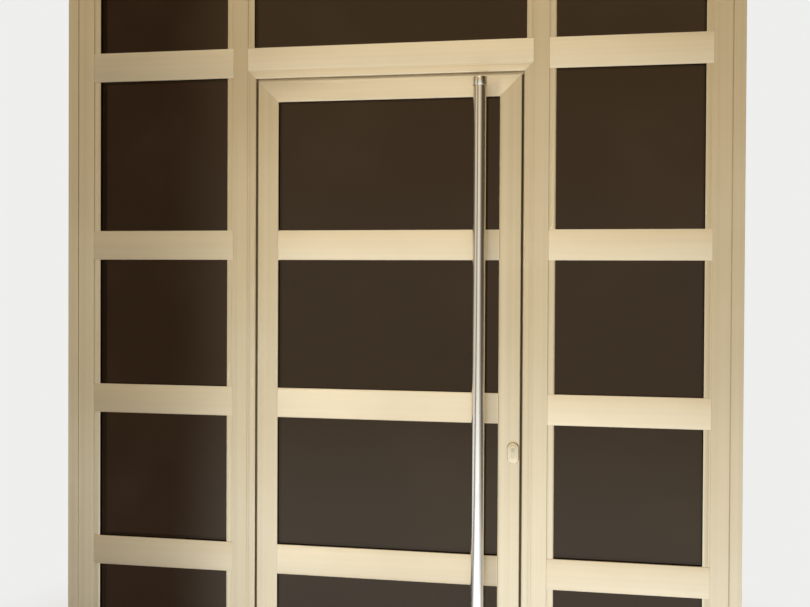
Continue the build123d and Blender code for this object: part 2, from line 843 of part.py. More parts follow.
side_span = (mullion_tip, jamb_tip)
cross_legs = (rail_leg, rail_leg)
levels = [(sill_top, rail_4), (rail_4 + rail_height, rail_3)]
levels += [(rail_3 + rail_height, rail_2), (rail_2 + rail_height, rail_1)]
levels += [(transom_top, head_low)]
side_openings = [(*side_span, low, high, cross_legs) for low, high in levels]
side_glazing = glaze_all(side_openings, post_leg, leg_back, frame_depth - bead_shy)
light_edge = mullion_inner - post_leg
top_opening = [(-light_edge, light_edge, transom_top, head_low, cross_legs)]
top_glazing = glaze_all(top_opening, post_leg, leg_back, frame_depth - bead_shy)
leaf_openings = [(-leaf_tip, leaf_tip, low, high, cross_legs) for low, high in levels[:3]]
upper_legs = (rail_leg, leaf_leg)
leaf_openings += [(-leaf_tip, leaf_tip, rail_2 + rail_height, leaf_top - leaf_face, upper_legs)]
leaf_glazing = glaze_all(leaf_openings, leaf_leg, hook_back, leaf_back - bead_shy)


def both_sides(pieces):
    """Right-hand pieces together with their left-hand copies."""
    return pieces + [mirrored(piece) for piece in pieces]


def frame_glazing(kind):
    """One kind of glazing piece of both side lights and the top light."""
    return group(both_sides(side_glazing[kind]) + top_glazing[kind])


right_jamb = post(jamb_outer, jamb_inner, jamb_tip)
right_mullion = post(mullion_inner, mullion_outer, mullion_tip)
left_mullion = mirrored(right_mullion)
frame_corner = (mullion_inner, transom_low)
leaf_corner = (leaf_edge, leaf_top)
door_post = mitred_upright(door_frame_section(), frame_corner, threshold_height)
stile = mitred_upright(leaf_section(), leaf_corner, leaf_bottom)

face_slot = block((wing_edge - wall - 1, wing_edge + 1), face_y, (face_low, face_high))
cylinder_hole = cylinder_window(leaf_front - 1, leaf_back + 1)
lock_stile = without(stile, [face_slot, cylinder_hole] + lock_screws()[-2:])
hinge_stile = without(mirrored(stile), leaf_hinge_screws)
left_mullion = without(left_mullion, frame_hinge_screws)
lock_post = without(door_post, strike_screws())
lock_post -= strike_holes(door_body - 1, door_body + wall + 1)
side_head = side_rail(head_low, screen_top, rail_leg, 0)
side_upper_rail = side_rail(rail_1, transom_top, rail_leg, rail_leg)
side_sill = side_rail(0, sill_top, 0, rail_leg)
lower_rails = [side_rail(z, z + rail_height, rail_leg, rail_leg) for z in (rail_2, rail_3, rail_4)]
transom_span = (-mullion_inner, mullion_inner, transom_low, transom_top)
head_span = (-mullion_inner, mullion_inner, head_low, screen_top)
top_strip = top_light_strip()
cleat_y = (wing_front + wall, leaf_back - 2 * wall)
cleat_corner = (wing_edge - wall, leaf_top + rebate_wing - wall)
leaf_cleat = corner_cleat(*cleat_corner, leaf_cleat_width, cleat_y)
cleat_y = (lip_back + wall, frame_depth - 2 * wall)
cleat_corner = (mullion_inner - wall, transom_low - wall)
frame_cleat = corner_cleat(*cleat_corner, frame_cleat_width, cleat_y)
stop_y = (lip_back, wing_front - seat_gap)
stop_edge = lip_edge + stop_setback
stop_z = (lip_low + stop_setback, lip_low + stop_setback + stop_lap)
stop_side = block((stop_edge, stop_edge + stop_width), stop_y, (threshold_height, stop_z[1]))
stop_head = block((-stop_edge, stop_edge), stop_y, stop_z)
brush_y = grown((frame_depth / 2, frame_depth / 2), brush_width / 2)
brush_z = (threshold_height + seat_gap, leaf_bottom)
deadbolt = block((bolt_back, bolt_tip), bolt_y, (bolt_low, bolt_high))
case_cuts = lock_screws()

pieces = {
    "left_jamb": mirrored(right_jamb),
    "right_jamb": right_jamb,
    "left_mullion": left_mullion,
    "right_mullion": right_mullion,
    "left_wall_channel": mirrored(wall_channel()),
    "right_wall_channel": wall_channel(),
    "left_head": mirrored(side_head),
    "right_head": side_head,
    "left_upper_rail": mirrored(side_upper_rail),
    "right_upper_rail": side_upper_rail,
    "left_lower_rails": group([mirrored(rail) for rail in lower_rails]),
    "right_lower_rails": group(lower_rails),
    "left_sill": mirrored(side_sill),
    "right_sill": side_sill,
    "centre_head": cross_member(*head_span, rail_leg, 0, 0, frame_depth),
    "door_transom": cross_member(*transom_span, 0, rail_leg, 0, frame_depth),
    "top_light_side_strips": group(both_sides([top_strip])),
    "door_frame_hinge_side": mirrored(door_post),
    "door_frame_lock_side": lock_post,
    "door_frame_head": mitred_head(door_frame_section(), frame_corner, mullion_inner),
    "door_frame_corner_cleats": group(both_sides([frame_cleat])),
    "door_stop_seal": group(both_sides([stop_side]) + [stop_head]),
    "threshold": threshold(),
    "left_panes": group([mirrored(pane) for pane in side_glazing["panes"]]),
    "right_panes": group(side_glazing["panes"]),
    "top_light_pane": top_glazing["panes"][0],
    "frame_glazing_seals": frame_glazing("seals"),
    "frame_glazing_beads": frame_glazing("beads"),
    "frame_setting_blocks": frame_glazing("blocks"),
    "hinge_frame_wings": group([frame_wing(height) for height in hinge_heights]),
    "hinge_pins": group([hinge_pin(height) for height in hinge_heights]),
    "strike_plate": strike_plate(),
    "frame_screws": group(strike_screws() + frame_hinge_screws),
    "hinge_stile": hinge_stile,
    "lock_stile": lock_stile,
    "leaf_top_rail": drilled(
        mitred_head(leaf_section(), leaf_corner, wing_edge + 1), top_support
    ),
    "leaf_rail_2": leaf_rail(rail_2, rail_2 + rail_height, rail_leg),
    "leaf_rail_3": drilled(leaf_rail(rail_3, rail_3 + rail_height, rail_leg), middle_support),
    "leaf_rail_4": leaf_rail(rail_4, rail_4 + rail_height, rail_leg),
    "leaf_bottom_rail": drilled(leaf_rail(leaf_bottom, sill_top, 0), bottom_support),
    "leaf_panes": group(leaf_glazing["panes"]),
    "leaf_glazing_seals": group(leaf_glazing["seals"]),
    "leaf_glazing_beads": group(leaf_glazing["beads"]),
    "leaf_setting_blocks": group(leaf_glazing["blocks"]),
    "leaf_corner_cleats": group(both_sides([leaf_cleat])),
    "hinge_leaf_wings": group([leaf_wing(height) for height in hinge_heights]),
    "pull_bar": pull_bar(),
    "pull_bar_collars": group([collar(bar_bottom), collar(bar_top - collar_height)]),
    "pull_bar_standoffs": group([standoff(height) for height in supports]),
    "pull_bar_bolts": group([bar_bolt(height) for height in supports]),
    "lock_case": without(lock_case(), case_cuts),
    "lock_faceplate": without(lock_faceplate(), case_cuts),
    "escutcheons": group([outer_escutcheon(), inner_escutcheon()]),
    "cylinder_body": cylinder_body(),
    "brush_seal": block((-leaf_box, leaf_box), brush_y, brush_z),
    "leaf_screws": group(lock_screws() + leaf_hinge_screws),
    "deadbolt": deadbolt,
    "latch_bolt": latch_bolt(),
    "cylinder_plug": cylinder_plug(),
    "thumb_turn": thumb_turn(),
}

os.makedirs("parts", exist_ok=True)
for name, piece in pieces.items():
    export_step(piece, f"parts/{name}.step")
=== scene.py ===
import math
import random

import bmesh
import bpy
from mathutils import Matrix, Vector


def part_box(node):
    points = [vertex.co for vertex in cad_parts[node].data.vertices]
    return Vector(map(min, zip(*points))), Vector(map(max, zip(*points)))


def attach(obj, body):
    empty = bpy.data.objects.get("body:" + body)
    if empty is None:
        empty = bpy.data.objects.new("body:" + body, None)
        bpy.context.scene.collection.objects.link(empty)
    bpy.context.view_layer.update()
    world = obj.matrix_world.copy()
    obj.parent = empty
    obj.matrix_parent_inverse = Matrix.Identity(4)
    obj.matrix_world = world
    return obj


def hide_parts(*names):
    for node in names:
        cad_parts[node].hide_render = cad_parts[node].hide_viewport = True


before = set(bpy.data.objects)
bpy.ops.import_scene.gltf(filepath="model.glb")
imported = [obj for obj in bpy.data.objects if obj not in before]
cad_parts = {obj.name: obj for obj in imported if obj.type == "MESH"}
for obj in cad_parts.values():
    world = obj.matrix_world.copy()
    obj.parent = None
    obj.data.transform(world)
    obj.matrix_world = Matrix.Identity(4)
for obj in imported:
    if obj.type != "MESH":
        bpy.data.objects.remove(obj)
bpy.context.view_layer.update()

# Jambs and mullions
# Hollow aluminium extrusions, anodised in a satin champagne tone, that stand the full
# height of the screen. The recessed leg along each side holds the glass.


class Value:
    """A value on its way through a finish, so that sums of it read as arithmetic."""

    def __init__(self, finish, socket):
        self.finish = finish
        self.socket = socket

    def maths(self, operation, first, second):
        return self.finish.node("ShaderNodeMath", {"operation": operation}, {0: first, 1: second})

    def __add__(self, other):
        return self.maths("ADD", self, other)

    def __radd__(self, other):
        return self.maths("ADD", other, self)

    def __sub__(self, other):
        return self.maths("SUBTRACT", self, other)

    def __rsub__(self, other):
        return self.maths("SUBTRACT", other, self)

    def __mul__(self, other):
        return self.maths("MULTIPLY", self, other)


class Nodes:
    """The nodes of a finish or of the light around the screen."""

    def __init__(self, tree):
        self.tree = tree

    def feed(self, socket, value):
        if isinstance(value, Value):
            self.tree.links.new(value.socket, socket)
        else:
            socket.default_value = value

    def node(self, kind, settings, inputs, output=0):
        made = self.tree.nodes.new(kind)
        for key, value in settings.items():
            setattr(made, key, value)
        for key, value in inputs.items():
            self.feed(made.inputs[key], value)
        return Value(self, made.outputs[output])

    def between(self, value, low, high):
        """A smooth step from nought at the low value to one at the high value."""
        ends = {"Value": value, "From Min": low, "From Max": high}
        return self.node("ShaderNodeMapRange", {"interpolation_type": "SMOOTHSTEP"}, ends)

    def mixed(self, share, first, second):
        """Two colours, the second one growing with the share."""
        inputs = {0: share, 6: first, 7: second}
        return self.node("ShaderNodeMix", {"data_type": "RGBA"}, inputs, 2)


class Finish(Nodes):
    """A surface finish: a shader with its fixed values, and what varies over the surface."""

    def __init__(self, name, **fixed):
        self.material = bpy.data.materials.new(name)
        self.material.use_nodes = True
        super().__init__(self.material.node_tree)
        self.shader = self.tree.nodes["Principled BSDF"]
        for socket, value in fixed.items():
            self.shader.inputs[socket.replace("_", " ")].default_value = value

    def noise(self, scale, detail=2.0, shift=0.0):
        """Noise from nought to one, with its own scale along each axis of the piece."""
        place = self.node("ShaderNodeTexCoord", {}, {}, "Object")
        moved = {"Vector": place, "Location": (shift, shift, shift), "Scale": scale}
        point = self.node("ShaderNodeMapping", {}, moved)
        inputs = {"Vector": point, "Scale": 1.0, "Detail": detail}
        return self.node("ShaderNodeTexNoise", {}, inputs)

    def place(self, axis):
        """The place along one axis of the screen in metres: Z is the height above the floor."""
        place = self.node("ShaderNodeTexCoord", {}, {}, "Object")
        return self.node("ShaderNodeSeparateXYZ", {}, {"Vector": place}, axis)

    def relief(self, height, strength, distance):
        """A shallow relief in the surface."""
        inputs = {"Height": height, "Strength": strength, "Distance": distance}
        return self.node("ShaderNodeBump", {}, inputs)

    def vary(self, **sockets):
        for socket, value in sockets.items():
            self.feed(self.shader.inputs[socket.replace("_", " ")], value)


def tone(red, green, blue):
    """A colour, given as it looks on a screen from 0 to 255."""
    linear = [(part / 255 / 12.92) if part < 11 else ((part / 255 + 0.055) / 1.055) ** 2.4
              for part in (red, green, blue)]
    return (*linear, 1.0)


LEVEL, UPRIGHT = 0, 2


def champagne(name, pale, deep, along, painted_shade=None):
    """Satin anodised aluminium with the faint lines of the die along one axis, with dust
    near the floor, and with painted shade where the given share of it says."""
    upright = along == UPRIGHT
    finish = Finish(name, Metallic=0.62, Anisotropic=0.65 if upright else 0.8,
                    Anisotropic_Rotation=0.0 if upright else 0.25)
    fine, broad = [900.0, 900.0, 900.0], [55.0, 55.0, 55.0]
    fine[along], broad[along] = 1.5, 0.25
    lines = finish.noise(fine, 1.0)
    bands = finish.noise(broad, 2.0, 7.0)
    cloud = finish.noise((2.5, 2.5, 2.5), 3.0, 3.0)
    dust = 1 - finish.between(finish.place("Z") + finish.noise((9, 9, 4)) * 0.12, 0.06, 0.32)
    colour = finish.mixed(finish.between(bands * 0.5 + cloud * 0.5, 0.3, 0.7), deep, pale)
    colour = finish.mixed(dust * 0.25, colour, tone(150, 138, 118))
    # Painted shade: a dark brown laid on where the given share says.
    if painted_shade:
        colour = finish.mixed(painted_shade(finish), colour, tone(70, 56, 33))
    finish.vary(Base_Color=colour)
    finish.vary(Roughness=0.36 + lines * 0.06 + cloud * 0.05 + dust * 0.12)
    finish.vary(Normal=finish.relief(lines, 0.12, 0.00005))
    return finish


# Painted shade: the uprights take a darker copy of the cross members' champagne, standing in for
# the dimmer light on them.
SHADED_UPRIGHT_TONES = (tone(226, 211, 178), tone(215, 198, 163))
ACROSS_TONES = (tone(233, 218, 186), tone(226, 210, 176))
upright_finish = champagne("champagne_upright_shaded", *SHADED_UPRIGHT_TONES, UPRIGHT)
across_finish = champagne("champagne_across", *ACROSS_TONES, LEVEL)
CHAMPAGNE = (upright_finish, across_finish)


CREASE, EDGE = math.radians(35), math.radians(30)


def placed(name, mesh, body, finishes, nodes):
    """The finished piece, riding on its body in place of the solids it stands for."""
    for face in mesh.faces:
        face.smooth = True
    data = bpy.data.meshes.new(name)
    mesh.to_mesh(data)
    mesh.free()
    data.set_sharp_from_angle(angle=CREASE)
    piece = bpy.data.objects.new(name, data)
    bpy.context.collection.objects.link(piece)
    for finish in finishes:
        data.materials.append(finish.material)
    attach(piece, body)
    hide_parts(*nodes)
    return piece


def soften(piece, width, steps=2):
    """Rounds the sharp edges of a piece."""
    edge = piece.modifiers.new("edge", "BEVEL")
    edge.width = width
    edge.segments = steps
    edge.limit_method = "ANGLE"
    edge.angle_limit = EDGE
    edge.harden_normals = True


def shells(mesh):
    """The corners of each closed shell of loose triangles, which follow shell by shell.
    Corners at the same micrometre count as one."""
    unmatched, corners, found = set(), [], []
    for face in mesh.faces:
        places = [tuple(round(part, 6) for part in vert.co) for vert in face.verts]
        corners.extend(face.verts)
        for start, end in zip(places, places[1:] + places[:1]):
            if (end, start) in unmatched:
                unmatched.remove((end, start))
            else:
                unmatched.add((start, end))
        if not unmatched:  # the shell has closed
            found.append(list(dict.fromkeys(corners)))
            corners = []
    return found


WELD, FLAT = 0.00001, 0.01


def dress(node, body, finishes, width=0.0003, steps=2):
    """Gives a node its own form: its facets joined into flat faces and its edges softened.
    Faces that run upright take the first finish, and the others the last."""
    mesh = bmesh.new()
    mesh.from_mesh(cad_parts[node].data)
    for corners in shells(mesh):
        bmesh.ops.remove_doubles(mesh, verts=corners, dist=WELD)
    bmesh.ops.dissolve_limit(mesh, angle_limit=FLAT, verts=mesh.verts, edges=mesh.edges)
    for face in mesh.faces:
        longest = max(face.edges, key=lambda edge: edge.calc_length())
        run = longest.verts[1].co - longest.verts[0].co
        face.material_index = 0 if abs(run.z) >= abs(run.x) else len(finishes) - 1
    soften(placed(f"{node}_form", mesh, body, finishes, [node]), width, steps)


for post in ("left_jamb", "right_jamb", "left_mullion", "right_mullion"):
    dress(post, "frame", CHAMPAGNE)


# Wall channels
# Plain channels of the same aluminium at both sides of the screen. Each is fixed to the
# wall through its base and covers the joint beside the jamb.

for channel in ("left_wall_channel", "right_wall_channel"):
    dress(channel, "frame", CHAMPAGNE)


# Heads, rails, sills and the transom of the screen
# Hollow aluminium cross members with a flat outer face and a bevel along both edges. They
# are coped over the legs of the posts and closed with small strips beside the top light.

for member in ("left_head", "right_head", "centre_head", "left_upper_rail", "right_upper_rail",
               "left_lower_rails", "right_lower_rails", "left_sill", "right_sill",
               "door_transom", "top_light_side_strips"):
    dress(member, "frame", CHAMPAGNE)


# Door frame
# Three aluminium lengths with a lip towards the outside, mitred at the top corners and
# clipped to the mullions and the transom. Cast cleats inside hold the mitres together.

for length in ("door_frame_hinge_side", "door_frame_lock_side", "door_frame_head"):
    dress(length, "frame", CHAMPAGNE)

cast_finish = Finish("cast_aluminium", Metallic=0.9)
grit = cast_finish.noise((300, 300, 300), 4.0)
cast_finish.vary(Base_Color=cast_finish.mixed(grit, tone(140, 141, 142), tone(176, 177, 178)))
cast_finish.vary(Roughness=0.5 + grit * 0.2)
cast_finish.vary(Normal=cast_finish.relief(grit, 0.3, 0.0002))


def coat(node, finish):
    """Gives a node whose shape is right already nothing but its finish."""
    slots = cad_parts[node].data.materials
    slots.clear()
    slots.append(finish.material)


coat("door_frame_corner_cleats", cast_finish)


# Threshold
# A low extrusion of plain mill-finish aluminium with a ramp at the outside, screwed to the
# floor across the doorway. Feet have dulled and scratched its top.

mill_finish = Finish("mill_aluminium", Metallic=0.95)
drawn = mill_finish.noise((1.2, 700, 700), 2.0)
scuffs = mill_finish.between(mill_finish.noise((14, 40, 14), 5.0, 2.0), 0.5, 0.72)
clean, scuffed = tone(186, 187, 188), tone(128, 126, 122)
mill_finish.vary(Base_Color=mill_finish.mixed(scuffs * 0.6, clean, scuffed))
mill_finish.vary(Roughness=0.3 + drawn * 0.1 + scuffs * 0.25)
mill_finish.vary(Normal=mill_finish.relief(drawn, 0.15, 0.00006))

dress("threshold", "frame", (mill_finish,), 0.0005)


# Panes
# Ten-millimetre sheets of bronze-tinted float glass, dark enough that little shows through.
# Each stands on two blocks and is held all round by seals and beads.

bronze = Finish("bronze_glass", Transmission_Weight=1.0, IOR=1.46,
                Specular_Tint=(0.92, 0.76, 0.54, 1.0))
waves = bronze.noise((1.1, 1.1, 0.7), 1.0)
film = bronze.between(bronze.noise((3, 3, 3), 5.0, 4.0), 0.45, 0.75)
bronze.vary(Base_Color=bronze.mixed(film, tone(42, 27, 15), tone(48, 33, 20)))
bronze.vary(Roughness=0.015 + film * 0.03)
bronze.vary(Normal=bronze.relief(waves, 0.04, 0.002))

for panes in ("left_panes", "right_panes", "top_light_pane", "leaf_panes"):
    coat(panes, bronze)


# Seals and setting blocks
# Extruded black rubber round every pane, outside and inside, and along the door frame where
# the leaf closes. The blocks under the panes are hard grey plastic.

rubber = Finish("black_rubber", Specular_IOR_Level=0.35)
grain = rubber.noise((420, 420, 420), 3.0)
bloom = rubber.noise((12, 12, 12), 4.0, 5.0)
rubber.vary(Base_Color=rubber.mixed(bloom * 0.5, tone(22, 20, 19), tone(46, 43, 40)))
rubber.vary(Roughness=0.6 + grain * 0.15)
rubber.vary(Normal=rubber.relief(grain, 0.2, 0.0001))

SEAL_EDGE = 0.001
for seal, body in (("frame_glazing_seals", "frame"), ("leaf_glazing_seals", "leaf"),
                   ("door_stop_seal", "frame")):
    dress(seal, body, (rubber,), SEAL_EDGE, 3)

block_plastic = Finish("block_plastic")
speck = block_plastic.noise((200, 200, 200), 2.0)
block_plastic.vary(Base_Color=block_plastic.mixed(speck, tone(60, 62, 66), tone(74, 76, 80)))
block_plastic.vary(Roughness=0.45 + speck * 0.1)
coat("frame_setting_blocks", block_plastic)
coat("leaf_setting_blocks", block_plastic)


# Beads
# Thin champagne aluminium beads on the inside, the upright ones running through. They snap
# into the legs of the posts and rails and press the inner seals against the glass.

dress("frame_glazing_beads", "frame", CHAMPAGNE)
dress("leaf_glazing_beads", "leaf", CHAMPAGNE)


# Leaf
# Two stiles and a top rail, mitred at the upper corners over cast cleats, and four flat
# rails between the stiles. All are hollow champagne extrusions like the screen's.


def rebate_painted_shade(finish):
    """Painted shade in the corner between the edge of a stile and its wing, behind the door
    frame.
    """
    back = finish.place("Y")
    aside = finish.node("ShaderNodeMath", {"operation": "ABSOLUTE"}, {0: finish.place("X")})
    deep = finish.between(back, 0.009, 0.019) * finish.between(back, 0.024, 0.022)
    return deep * finish.between(aside, 0.455, 0.449) * 0.9


# The leaf's upright finish carries painted shade in the rebates of the stiles.
stile_finish = champagne("champagne_leaf_upright_shaded", *SHADED_UPRIGHT_TONES, UPRIGHT, rebate_painted_shade)
for member in ("hinge_stile", "lock_stile", "leaf_top_rail", "leaf_rail_2", "leaf_rail_3",
               "leaf_rail_4", "leaf_bottom_rail"):
    dress(member, "leaf", (stile_finish, across_finish))
coat("leaf_corner_cleats", cast_finish)


# Brush seal
# A strip of dark nylon tufts in the bottom rail that sweeps the threshold and closes the
# gap under the leaf.

fibre = Finish("brush_fibre", Specular_IOR_Level=0.3)
strand = fibre.noise((900, 900, 30), 2.0)
fibre.vary(Base_Color=fibre.mixed(strand, tone(24, 23, 22), tone(58, 54, 50)))
fibre.vary(Roughness=0.7 + strand * 0.2)
fibre.vary(Normal=fibre.relief(strand, 0.5, 0.0003))

brush_low, brush_high = [Vector(corner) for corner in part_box("brush_seal")]
TUFT_GAP = 0.0042
TUFT_FOOT, TUFT_ROOT = 0.46, 0.3
UNEVEN = 0.0009
SPINE = 0.0014
brush = bmesh.new()
middle = (brush_low + brush_high) / 2
size = brush_high - brush_low
spine = (Matrix.Translation((middle.x, middle.y, brush_high.z - SPINE / 2)) @
         Matrix.Diagonal((size.x, size.y, SPINE, 1)))
bmesh.ops.create_cube(brush, size=1, matrix=spine)
tufts = random.Random(4)
for count in range(int(size.x / TUFT_GAP)):
    low = brush_low.z + tufts.uniform(0, UNEVEN)
    tall = brush_high.z - SPINE / 2 - low
    spot = (brush_low.x + (count + 0.5) * TUFT_GAP, middle.y, low + tall / 2)
    bmesh.ops.create_cone(brush, cap_ends=True, segments=8, radius1=size.y * TUFT_FOOT,
                          radius2=size.y * TUFT_ROOT, depth=tall,
                          matrix=Matrix.Translation(spot))
placed("brush_seal_tufts", brush, "leaf", (fibre,), ["brush_seal"])


# Hinges
# Three two-knuckle hinges on the inside, of champagne aluminium with steel pins. One wing
# is screwed to the mullion and carries the lower knuckle, the other to the hinge stile.

HINGE_X, HINGE_Y = -0.464, 0.073
HINGE_HEIGHTS = (0.230, 1.140, 2.050)
HINGE_HALF = 0.055
KNUCKLE = 0.011
KNUCKLE_GAP = 0.0005
BORE = 0.005
PIN = BORE * 0.97
PIN_TIP = BORE * 0.7
PIN_END = 0.002
SEAM = 0.000002


def turned(mesh, outline, centre, axis, steps=64):
    """A round form: an outline of (radius, way along) pairs, turned about an axis."""
    centre, axis = Vector(centre), Vector(axis)
    points = [mesh.verts.new(centre + Vector((radius, 0, 0)) + axis * way)
              for radius, way in outline]
    lines = [mesh.edges.new(pair) for pair in zip(points, points[1:])]
    if outline[0][0] > 0:
        lines.append(mesh.edges.new((points[-1], points[0])))
    bmesh.ops.spin(mesh, geom=points + lines, cent=centre, axis=axis, angle=math.tau,
                   steps=steps, use_merge=True)


def closed(mesh):
    """The mesh with its seams merged and its faces turned outwards."""
    bmesh.ops.remove_doubles(mesh, verts=mesh.verts, dist=SEAM)
    bmesh.ops.recalc_face_normals(mesh, faces=mesh.faces)
    return mesh


def carried(mesh, faces, way):
    """The faces made into a solid by carrying them along a way."""
    grown = bmesh.ops.extrude_face_region(mesh, geom=faces, use_keep_orig=True)
    moved = [item for item in grown["geom"] if isinstance(item, bmesh.types.BMVert)]
    bmesh.ops.translate(mesh, verts=moved, vec=way)
    return moved


def bar(mesh, low, high, corners=0.0):
    """A rectangular bar between two corners, its edges along Y rounded by a radius."""
    low, high = Vector(low), Vector(high)
    place = Matrix.Translation((low + high) / 2) @ Matrix.Diagonal((*(high - low), 1))
    made = bmesh.ops.create_cube(mesh, size=1, matrix=place)["verts"]
    edges = {line for vert in made for line in vert.link_edges}
    if corners:
        along = [line for line in edges if abs((line.verts[0].co - line.verts[1].co).y) > 0.0001]
        bmesh.ops.bevel(mesh, geom=along, offset=corners, segments=5, profile=0.5,
                        affect="EDGES", material=-1)


def wing(mesh, ends, low, high, knuckle_low, knuckle_high, arm):
    """A wing: its plate, its knuckle with the bore, and the arm between them."""
    corner, rim = 0.003, 0.0006
    bar(mesh, (*low, ends[0]), (*high, ends[1]), corner)
    outline = [(BORE, knuckle_low + rim), (BORE + rim, knuckle_low),
               (KNUCKLE - rim, knuckle_low), (KNUCKLE, knuckle_low + rim),
               (KNUCKLE, knuckle_high - rim), (KNUCKLE - rim, knuckle_high),
               (BORE + rim, knuckle_high), (BORE, knuckle_high - rim)]
    turned(mesh, outline, (HINGE_X, HINGE_Y, 0), (0, 0, 1))
    points = [mesh.verts.new((x, y, knuckle_low)) for x, y in arm]
    carried(mesh, [mesh.faces.new(points)], (0, 0, knuckle_high - knuckle_low))


FRAME_PLATE, LEAF_PLATE = ((-0.528, 0.060), (-0.473, 0.064)), ((-0.455, 0.061), (-0.402, 0.065))
FRAME_ARM = [(-0.488, 0.060), (-0.473, 0.060), (-0.4655, 0.0621), (-0.4655, 0.0670),
             (-0.4740, 0.0730), (-0.488, 0.064)]
LEAF_ARM = [(-0.440, 0.061), (-0.455, 0.061), (-0.4625, 0.0621), (-0.4625, 0.0670),
            (-0.4540, 0.0730), (-0.440, 0.065)]
frame_wings, leaf_wings, pins = bmesh.new(), bmesh.new(), bmesh.new()
for height in HINGE_HEIGHTS:
    ends = (height - HINGE_HALF, height + HINGE_HALF)
    wing(frame_wings, ends, *FRAME_PLATE, ends[0], height - KNUCKLE_GAP / 2, FRAME_ARM)
    wing(leaf_wings, ends, *LEAF_PLATE, height + KNUCKLE_GAP / 2, ends[1], LEAF_ARM)
    top = ends[1] + PIN_END
    foot = ends[0] - PIN_END
    outline = [(0, foot), (PIN_TIP, foot + 0.0003), (PIN, foot + 0.0012), (PIN, foot + PIN_END),
               (PIN, top - PIN_END), (PIN, top - 0.0012), (PIN_TIP, top - 0.0003), (0, top)]
    turned(pins, outline, (HINGE_X, HINGE_Y, 0), (0, 0, 1), 48)

zinc = Finish("zinc_plated_steel", Metallic=1.0)
spangle = zinc.noise((60, 60, 60), 3.0)
fine = zinc.noise((800, 800, 800), 2.0, 6.0)
zinc.vary(Base_Color=zinc.mixed(spangle, tone(168, 170, 172), tone(196, 196, 192)))
zinc.vary(Roughness=0.28 + spangle * 0.12 + fine * 0.06)
zinc.vary(Normal=zinc.relief(fine, 0.1, 0.00004))

soften(placed("hinge_frame_wings_form", closed(frame_wings), "frame",
              (upright_finish,), ["hinge_frame_wings"]), 0.0004)
soften(placed("hinge_leaf_wings_form", closed(leaf_wings), "leaf",
              (upright_finish,), ["hinge_leaf_wings"]), 0.0004)
placed("hinge_pins_form", closed(pins), "frame", (zinc,), ["hinge_pins"])


# Screws
# Zinc-plated steel screws with flat heads and hexagon sockets: two in each wing of a hinge,
# two in the strike plate, and those of the faceplate, cylinder and escutcheons.


def screw(mesh, place, way, head, length, shank):
    """A flat-headed screw: its head flush at the place, with a hexagon socket."""
    way = Vector(way)
    turn = Vector((0, 0, -1)).rotation_difference(way).to_matrix().to_4x4()
    proud, flat, across, pit_depth = 0.0002, 0.94, 0.42, 0.45
    spot = Matrix.Translation(Vector(place)) @ turn @ Matrix.Translation((0, 0, proud))
    rim = bmesh.ops.create_circle(mesh, segments=36, radius=head * flat, matrix=spot)["verts"]
    socket = bmesh.ops.create_circle(mesh, segments=6, radius=head * across,
                                     matrix=spot)["verts"]
    rings = [{line for vert in ring for line in vert.link_edges} for ring in (rim, socket)]
    bmesh.ops.bridge_loops(mesh, edges=[*rings[0], *rings[1]])
    pit = bmesh.ops.extrude_edge_only(mesh, edges=list(rings[1]))["geom"]
    deep = [item for item in pit if isinstance(item, bmesh.types.BMVert)]
    bmesh.ops.translate(mesh, verts=deep, vec=way * head * pit_depth)
    floor_lines = [item for item in pit if isinstance(item, bmesh.types.BMEdge)]
    bmesh.ops.contextual_create(mesh, geom=floor_lines)
    loop = list(rings[0])
    for radius, deeper in ((head, 0.0003), (head, 0.0008), (shank, head * 0.9), (shank, length)):
        grown = bmesh.ops.extrude_edge_only(mesh, edges=loop)["geom"]
        ring = [item for item in grown if isinstance(item, bmesh.types.BMVert)]
        loop = [item for item in grown if isinstance(item, bmesh.types.BMEdge)]
        middle = sum((vert.co for vert in ring), Vector()) / len(ring)
        for vert in ring:
            vert.co = Vector(place) + way * deeper + (vert.co - middle).normalized() * radius
    bmesh.ops.contextual_create(mesh, geom=loop)


HEAD, SHANK = 0.0055, 0.00275
WING_SCREW, STRIKE_SCREW, FACE_SCREW, CYLINDER_SCREW, SHIELD_SCREW = (
    0.016, 0.012, 0.014, 0.042, 0.072)
BOLT_LINE = 0.041
LOCK_X, LOCK_Z = 0.423, 1.006
SHIELD_Z = 0.996
frame_screws, leaf_screws = bmesh.new(), bmesh.new()
for height in HINGE_HEIGHTS:
    for rise in (-HINGE_HALF * 2 / 3, HINGE_HALF * 2 / 3):
        screw(frame_screws, (-0.510, 0.064, height + rise), (0, -1, 0), HEAD, WING_SCREW, SHANK)
        screw(leaf_screws, (-0.420, 0.065, height + rise), (0, -1, 0), HEAD, WING_SCREW, SHANK)
for height in (1.015, 1.119):
    screw(frame_screws, (0.4645, BOLT_LINE, height), (1, 0, 0), HEAD, STRIKE_SCREW, SHANK)
for height in (0.924, 1.136):
    screw(leaf_screws, (0.461, BOLT_LINE, height), (-1, 0, 0), HEAD, FACE_SCREW, SHANK)
screw(leaf_screws, (0.461, BOLT_LINE, 0.986), (-1, 0, 0), HEAD, CYLINDER_SCREW, SHANK)
for rise in (-0.0275, 0.0275):
    screw(leaf_screws, (LOCK_X, 0.069, SHIELD_Z + rise), (0, -1, 0), 0.005, SHIELD_SCREW,
          0.0025)
placed("frame_screws_form", closed(frame_screws), "frame", (zinc,),
       ["frame_screws"])
placed("leaf_screws_form", closed(leaf_screws), "leaf", (zinc,),
       ["leaf_screws"])


# Lock
# A zinc-plated steel case in the lock stile with a flush faceplate, a square deadbolt and a
# sloped latch. The strike plate is screwed to the door frame.

